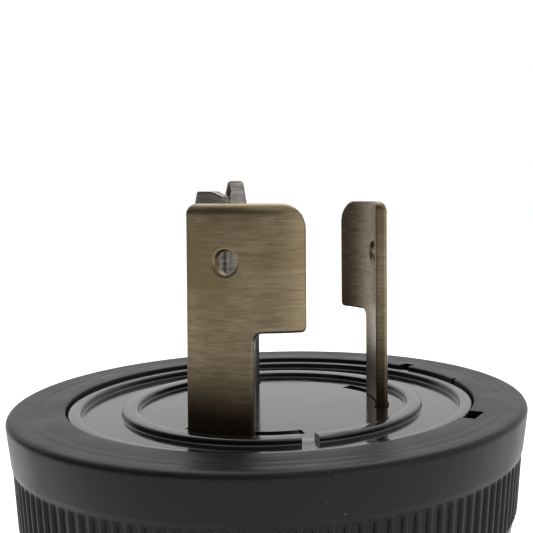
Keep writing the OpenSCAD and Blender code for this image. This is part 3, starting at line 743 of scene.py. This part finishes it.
def makeGroundBlade():
    g, b = groundBlade, blade
    radius, thick = b["outerR"], b["strip"]
    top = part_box("ground_blade")[1].z / mm
    legTop = top - g["step"]
    centreR = radius - g["bendR"]
    bendStart = math.radians(g["legAngle"]) - math.asin(g["bendR"] / centreR)
    legTurn = math.radians(g["legAngle"])
    bendSweep = legTurn + math.pi / 2 - bendStart
    sBend = bendStart * radius
    sLeg = sBend + bendSweep * g["bendR"]
    legStartR = math.sqrt(centreR ** 2 - g["bendR"] ** 2)
    sEnd = sLeg + legStartR - (radius - g["legLength"])
    centre = Vector((math.cos(bendStart), math.sin(bendStart), 0)) * centreR
    legWay = Vector((-math.cos(legTurn), -math.sin(legTurn), 0))
    corner = Vector((math.cos(math.radians(g["cornerTurn"])), math.sin(math.radians(g["cornerTurn"])), 0))
    cornerReach = radius * math.cos(math.radians(g["cornerTurn"] - g["legAngle"]))
    spin = Matrix.Rotation(math.radians(g["turn"]), 3, "Z")

    def along(y):
        return radius * math.asin(y / radius)

    plain = along(-radius * math.sin(math.radians(-g["back"])))
    outline = rounded([
        (plain, insertLow, 0), (sEnd, insertLow, 0), (sEnd, legTop - g["notchDrop"], g["legEndRound"]),
        (sEnd - g["legSlope"], legTop, g["slopeRound"]),
        (along(g["tipInner"] + g["notchWidth"]), legTop, g["notchTopRound"]),
        (along(g["tipInner"]), legTop - g["notchDrop"], g["notchRound"]),
        (along(g["tipLeft"]), top, g["tipCornerRound"]), (along(g["tipRight"]), top, g["tipCornerRound"]),
        (along(g["tipEdge"]), face + g["tipZ"], g["tipSideRound"]),
        (plain, face + g["reliefZ"], g["reliefRound"])], 5)

    def facet(s, depth, z):
        # slanted facets on the inner face: beside the notch and over the tip
        inside = thick - depth
        if s < along(g["tipInner"]) and z > legTop - g["sideFacetHigh"]:
            side = along(g["tipInner"]) - s + (top - z) * g["sideFacetLean"]
            inside = max(inside, g["sideFacet"] - side * g["sideFacetSlope"])
        if s < 0 and z > top - g["topFacetHigh"]:
            inside = max(inside, (z - top + g["topFacetHigh"]) * g["topFacetSlope"])
        return thick - inside

    def place(s, depth, z):
        depth = facet(s, depth, z)
        draw = max(0.0, z - top + g["taper"]) / g["taper"] * g["draw"]
        if s > sBend:     # the lead-in fades out by the middle of the bend
            draw *= max(0.0, 1 - 2 * (s - sBend) / (g["bendR"] * bendSweep))
        depth = draw + depth * (thick - draw) / thick
        if s < sBend:
            normal = Vector((math.cos(s / radius), math.sin(s / radius), 0))
            point = normal * (radius - depth)
        elif s < sLeg:
            turn = bendStart + (s - sBend) / g["bendR"]
            point = centre + Vector((math.cos(turn), math.sin(turn), 0)) * (g["bendR"] - depth)
        else:
            normal = Vector((legWay.y, -legWay.x, 0))
            point = legWay * (s - sLeg - legStartR) - normal * depth
        point.z = z
        reach = cornerReach - max(0.0, z - legTop + g["cornerHigh"]) / g["cornerHigh"] * g["cornerCut"]
        over = point.dot(corner) - reach
        if over > 0:
            point -= corner * over
        return spin @ point

    cuts = stepped(plain, sBend, g["arcStep"])
    cuts += stepped(sBend - g["bendPast"], sLeg + g["bendPast"], g["bendStep"])
    cuts += stepped(sLeg + g["legPast"], sEnd, g["legStep"])
    strip = plateMesh("ground_blade", [outline], thick, g["edge"], place, cuts,
                      stepped(face + g["reliefZ"] - g["tipPast"], top, g["tipStep"]))
    mesh = joined("ground_blade", strip, tailMesh(g["turn"]))
    settle("groundBlade", mesh, "ground_nickel", ["ground_blade"])


makeGroundBlade()
print("ground blade made")


# face insert

insert = {
    "rimR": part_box("face_insert")[1].x / mm, "bodyR": 21.4, "seatUp": 7.5,
    "rimIn": 21.3, "ringR": 17, "ringWide": 1.72,
    "floorDrop": 1.15, "ringDrop": 0.5,
    "edge": 0.28,                # rounding of the rim's and the ring's edges
    "foot": 0.14,                # fillet where they meet the floors
    "footBorder": 0.3,           # keeps the floors' shading flat up to those fillets
    "bodyEdge": 0.3, "seatEdge": 0.15,
    "play": 0.15, "slotPlay": 0.8,
    "legSlotShort": 0.4,         # the leg's slot stops this far inside the blades' circle
    "past": 1,                   # how far a cutter runs past a face
    "hookMark": 0.25, "hookMarkEnd": 43.5,
    "notch": (279, 285), "notchPast": 0.6,
    "tailUp": 5, "pocketIn": 10.5,
    "sleeveR": 2.6, "sleeveAt": 18.2, "sleeveTurns": (93.5, 273.5), "sleeveUp": 6.5,
    "sharp": 24,                 # edges above this angle stay crisp
}


def makeInsert():
    i, b, g = insert, blade, groundBlade
    floor, ringTop = face - i["floorDrop"], face - i["ringDrop"]
    edge, foot, seat = i["edge"], i["foot"], insertLow + i["seatUp"]
    ringIn = i["ringR"] - i["ringWide"]
    border = i["footBorder"]
    corners = [(0, insertLow, 0), (i["bodyR"], insertLow, i["bodyEdge"]), (i["bodyR"], seat, 0),
               (i["rimR"], seat, i["seatEdge"]), (i["rimR"], insertHigh, edge),
               (i["rimIn"], insertHigh, edge), (i["rimIn"], floor, foot),
               (i["rimIn"] - border, floor, 0), (i["ringR"] + border, floor, 0),
               (i["ringR"], floor, foot), (i["ringR"], ringTop, edge),
               (ringIn, ringTop, edge), (ringIn, floor, foot), (ringIn - border, floor, 0), (0, floor, 0)]
    body = newObject("insertBody", latheMesh("insertBody", rounded(corners, 5)))
    # the cutters' walls and floors stay a hair apart where they would meet in one plane
    hair = 0.001
    r = (b["outerR"] - b["strip"] - i["play"], b["outerR"] + i["play"])
    through = (insertLow - i["past"], face)
    cutters = []
    for turn in b["turns"]:
        start, end = turn + b["back"] - i["slotPlay"], turn + b["front"] + i["slotPlay"]
        cutters.append(sectorMesh("slot", start, end, r, through))
        cutters.append(sectorMesh("hookMark", turn + b["front"], turn + i["hookMarkEnd"],
                                  (r[0] + hair, r[1] - hair), (floor - i["hookMark"], face)))
    start, end = g["turn"] + g["back"] - i["slotPlay"], g["turn"] + g["legAngle"] + i["slotPlay"]
    cutters.append(sectorMesh("groundSlot", start, end, r, through))
    cutters.append(blockMesh("legSlot", g["turn"] + g["legAngle"],
                             (b["outerR"] - g["legLength"] - i["play"], b["outerR"] - i["legSlotShort"]),
                             (-b["strip"] - i["play"], i["play"]), through))
    notchR = (ringIn - i["notchPast"], i["ringR"] + i["notchPast"])
    cutters.append(sectorMesh("ringNotch", *i["notch"], notchR, (floor + 6 * hair, face)))
    across = tail["wide"] / 2 + i["play"]
    for turn in (*b["turns"], g["turn"]):
        cutters.append(blockMesh("tailPocket", turn + tail["turn"], (i["pocketIn"], b["outerR"] + hair),
                                 (-across, across), (insertLow - i["past"], insertLow + i["tailUp"])))
    for turn in i["sleeveTurns"]:
        cutters.append(rodMesh("sleeveHole", turn, i["sleeveAt"], i["sleeveR"],
                               (insertLow - i["past"], insertLow + i["sleeveUp"])))
    settle("faceInsert", cutAway(body, cutters, "face_insert"), "insert_black", ["face_insert"], i["sharp"])


makeInsert()
print("face insert made")


# front shell with its ribbed grip band

shell = {
    "flangeR": flangeR / mm, "low": shellLow.z / mm,
    "flangeHigh": 5, "faceEdge": 0.65, "faceFlat": 1.2,
    "flangeLowR": 28.4, "bevel": 0.5, "bevelEdge": 0.3,
    "gripTopR": 28.24, "gripLowR": 27.74, "gripRound": 1.4, "gripSweep": 60,
    "gripInside": 1.0, "gripGap": 0.02,    # how the body keeps behind the ribbed ring's lower end
    "seatR": 22.95, "seatDeep": 4.5, "ledgeR": 21.6, "ledgeThick": 3.5, "hollowR": 25.04,
    "innerEdge": 0.2, "ledgeEdge": 0.1,
    "lines": (25.7, 26.9), "lineWide": 0.5, "lineDeep": 0.05,
    "pockets": ((41, 1.6, 1.5), (15, 0.6, 0.5), (-30, 3.2, 1.7)),   # angle, width, how far out
    "pocketDeep": 2, "past": 1,
    "sharp": 40,
}

rib = {
    "count": 126, "backR": 0.38, "depth": 0.3,
    "backRows": (-1, -0.8, -0.42, 0, 0.42, 0.8, 1),   # across a rib's back, as shares of its half width
    "endRows": (0.0, 0.12, 0.28, 0.5, 0.8),            # below the band, where the valleys end
    "arch": 0.55,          # height over which a valley's rounded end rises to the band
    "archWide": 1.05, "archPoint": 0.8,
    "wall": 0.5,           # thickness of the ribbed ring behind the valleys
    "sunk": 0.04,          # how far that ring reaches up into the band
    "footInside": 1.2,
    "mergeDistance": 0.004,
}


def makeShellBody():
    s = shell
    flangeLow = face - s["flangeHigh"]
    seat = face - s["seatDeep"]
    behind = rib["depth"] + rib["wall"] / 2
    low = s["low"] + s["gripGap"]
    corners = [(s["flangeR"], face, s["faceEdge"]), (s["flangeLowR"], flangeLow + s["bevel"], s["bevelEdge"]),
               (s["gripTopR"] + s["gripGap"], flangeLow, 0), (s["gripTopR"] - behind, flangeLow, 0),
               (s["gripLowR"] - behind, s["low"] + s["gripRound"], 0),
               (s["gripLowR"] - s["gripInside"], low, 0),
               (s["hollowR"], low, s["innerEdge"]), (s["hollowR"], seat - s["ledgeThick"], 0),
               (s["ledgeR"], seat - s["ledgeThick"], s["innerEdge"]), (s["ledgeR"], seat, s["ledgeEdge"]),
               (s["seatR"], seat, 0), (s["seatR"], face, s["innerEdge"])]
    for line in s["lines"]:
        half = s["lineWide"] / 2
        corners += [(line - half, face, 0), (line, face - s["lineDeep"], 0), (line + half, face, 0)]
    corners.append((s["flangeR"] - s["faceFlat"], face, 0))
    body = newObject("shellBody", latheMesh("shellBody", rounded(corners, 6)))
    cutters = [blockMesh("pocket", turn, (s["seatR"] - s["past"], s["seatR"] + out), (-wide / 2, wide / 2),
                         (face - s["pocketDeep"], face + s["past"])) for turn, wide, out in s["pockets"]]
    return cutAway(body, cutters, "shellBody")


def ribMesh():
    # one rib with half a valley on each side, as wide as one step round the band
    s, r = shell, rib
    low, high = s["low"], face - s["flangeHigh"]
    half = math.pi / r["count"]
    edge = half * s["gripTopR"]           # middle of a valley
    sunkCentre = r["backR"] - r["depth"]  # the rib's round back has its centre this far below the valley
    foot = math.sqrt(r["backR"] ** 2 - sunkCentre ** 2)
    across = [x * foot for x in r["backRows"]]
    across = [-edge, -(edge + foot) / 2, *across, (edge + foot) / 2, edge]
    centreR, centreZ = s["gripLowR"] - s["gripRound"], low + s["gripRound"]
    slope = (s["gripTopR"] - s["gripLowR"]) / (high - centreZ)

    # rows of (height, radius over the ribs, distance below the band)
    rows = [(high + r["sunk"], s["gripTopR"], 0.0)]
    rows += [(high - t, s["gripTopR"] - slope * t, t) for t in r["endRows"]]
    steps = 4
    for k in range(steps + 1):
        a = -math.radians(s["gripSweep"]) * k / steps
        z, over = centreZ + s["gripRound"] * math.sin(a), centreR + s["gripRound"] * math.cos(a)
        rows.append((z, over, high - low))
    rows.append((low, s["gripLowR"] - s["gripRound"] / 2, high - low))

    bm = bmesh.new()
    grid = []
    for z, over, below in rows:
        row = []
        for x in across:
            back = math.sqrt(max(0.0, r["backR"] ** 2 - x * x)) - sunkCentre if abs(x) < foot else 0
            toRib = 1 - min(1, (edge - abs(x)) / (edge - foot))
            opening = min(1.0, below / (r["arch"] * (r["archWide"] - r["archPoint"] * toRib)))
            radius = over - (r["depth"] - back) * math.sin(opening * math.pi / 2)
            angle = x / edge * half
            row.append(bm.verts.new((radius * math.cos(angle), radius * math.sin(angle), z)))
        grid.append(row)
    for upper, lower in zip(grid, grid[1:]):
        for i in range(len(upper) - 1):
            bm.faces.new((upper[i], lower[i], lower[i + 1], upper[i + 1]))
    inside = ((rows[0][0], s["gripTopR"] - r["depth"] - r["wall"]), (low, s["gripLowR"] - r["footInside"]))
    inner = [[bm.verts.new((radius * math.cos(a), radius * math.sin(a), z)) for a in (-half, half)]
             for z, radius in inside]
    bm.faces.new([*grid[0], inner[0][1], inner[0][0]])
    bm.faces.new([*reversed(grid[-1]), inner[1][0], inner[1][1]])
    bm.faces.new((inner[0][0], inner[0][1], inner[1][1], inner[1][0]))
    return toMesh(bm, "rib")


def roundAxisTree():
    # Geometry Nodes: copies of one mesh at equal steps round the axis, joined where they meet
    tree = bpy.data.node_groups.new("roundAxis", "GeometryNodeTree")
    sockets = tree.interface
    sockets.new_socket("Geometry", in_out="INPUT", socket_type="NodeSocketGeometry")
    sockets.new_socket("Count", in_out="INPUT", socket_type="NodeSocketInt")
    sockets.new_socket("Merge Distance", in_out="INPUT", socket_type="NodeSocketFloat")
    sockets.new_socket("Material", in_out="INPUT", socket_type="NodeSocketMaterial")
    sockets.new_socket("Geometry", in_out="OUTPUT", socket_type="NodeSocketGeometry")
    new, link = tree.nodes.new, tree.links.new
    source, result = new("NodeGroupInput"), new("NodeGroupOutput")
    line = new("GeometryNodeMeshLine")
    line.inputs["Offset"].default_value = (0, 0, 0)
    index, step, turn, spin = (new("GeometryNodeInputIndex"), new("ShaderNodeMath"), new("ShaderNodeMath"),
                               new("ShaderNodeCombineXYZ"))
    step.operation, turn.operation = "DIVIDE", "MULTIPLY"
    step.inputs[0].default_value = 2 * math.pi
    toPoints, copies = new("GeometryNodeMeshToPoints"), new("GeometryNodeInstanceOnPoints")
    real, merge, paint = (new("GeometryNodeRealizeInstances"), new("GeometryNodeMergeByDistance"),
                          new("GeometryNodeSetMaterial"))
    link(source.outputs["Count"], line.inputs["Count"])
    link(source.outputs["Count"], step.inputs[1])
    link(index.outputs[0], turn.inputs[0])
    link(step.outputs[0], turn.inputs[1])
    link(turn.outputs[0], spin.inputs["Z"])
    link(line.outputs[0], toPoints.inputs[0])
    link(toPoints.outputs[0], copies.inputs["Points"])
    link(source.outputs["Geometry"], copies.inputs["Instance"])
    link(spin.outputs[0], copies.inputs["Rotation"])
    link(copies.outputs[0], real.inputs[0])
    link(real.outputs[0], merge.inputs[0])
    link(source.outputs["Merge Distance"], merge.inputs["Distance"])
    link(merge.outputs[0], paint.inputs[0])
    link(source.outputs["Material"], paint.inputs["Material"])
    link(paint.outputs[0], result.inputs[0])
    return tree


def setInputs(modifier, values):
    for item in modifier.node_group.interface.items_tree:
        if item.in_out == "INPUT" and item.name in values:
            modifier[item.identifier] = values[item.name]


def makeShell():
    band = newObject("gripBand", ribMesh())
    copies = band.modifiers.new("roundAxis", "NODES")
    copies.node_group = roundAxisTree()
    setInputs(copies, {"Count": rib["count"], "Merge Distance": rib["mergeDistance"] * mm,
                       "Material": materials["shell_black"]})
    mesh = joined("front_shell", makeShellBody(), evaluated(band, "gripBand"))
    settle("frontShell", mesh, "shell_black", ["front_shell"], shell["sharp"])


makeShell()
print("front shell made")


# smaller moulded and pressed parts: the CAD shapes with their edges rounded

softEdges = {
    "rear_housing": 0.3, "clamp_jaw_head_side": 0.5, "clamp_jaw_nut_side": 0.5,
    "clamp_nut_1": 0.25, "clamp_nut_2": 0.25, "clamp_screw_1": 0.2, "clamp_screw_2": 0.2,
    "assembly_screw_1": 0.2, "assembly_screw_2": 0.2, "cord_seal": 0.4,
}

for node, width in softEdges.items():
    softened(node, slots[node], width)
print("edges of the smaller parts rounded")

scene = bpy.context.scene
scene.view_settings.view_transform = "Standard"
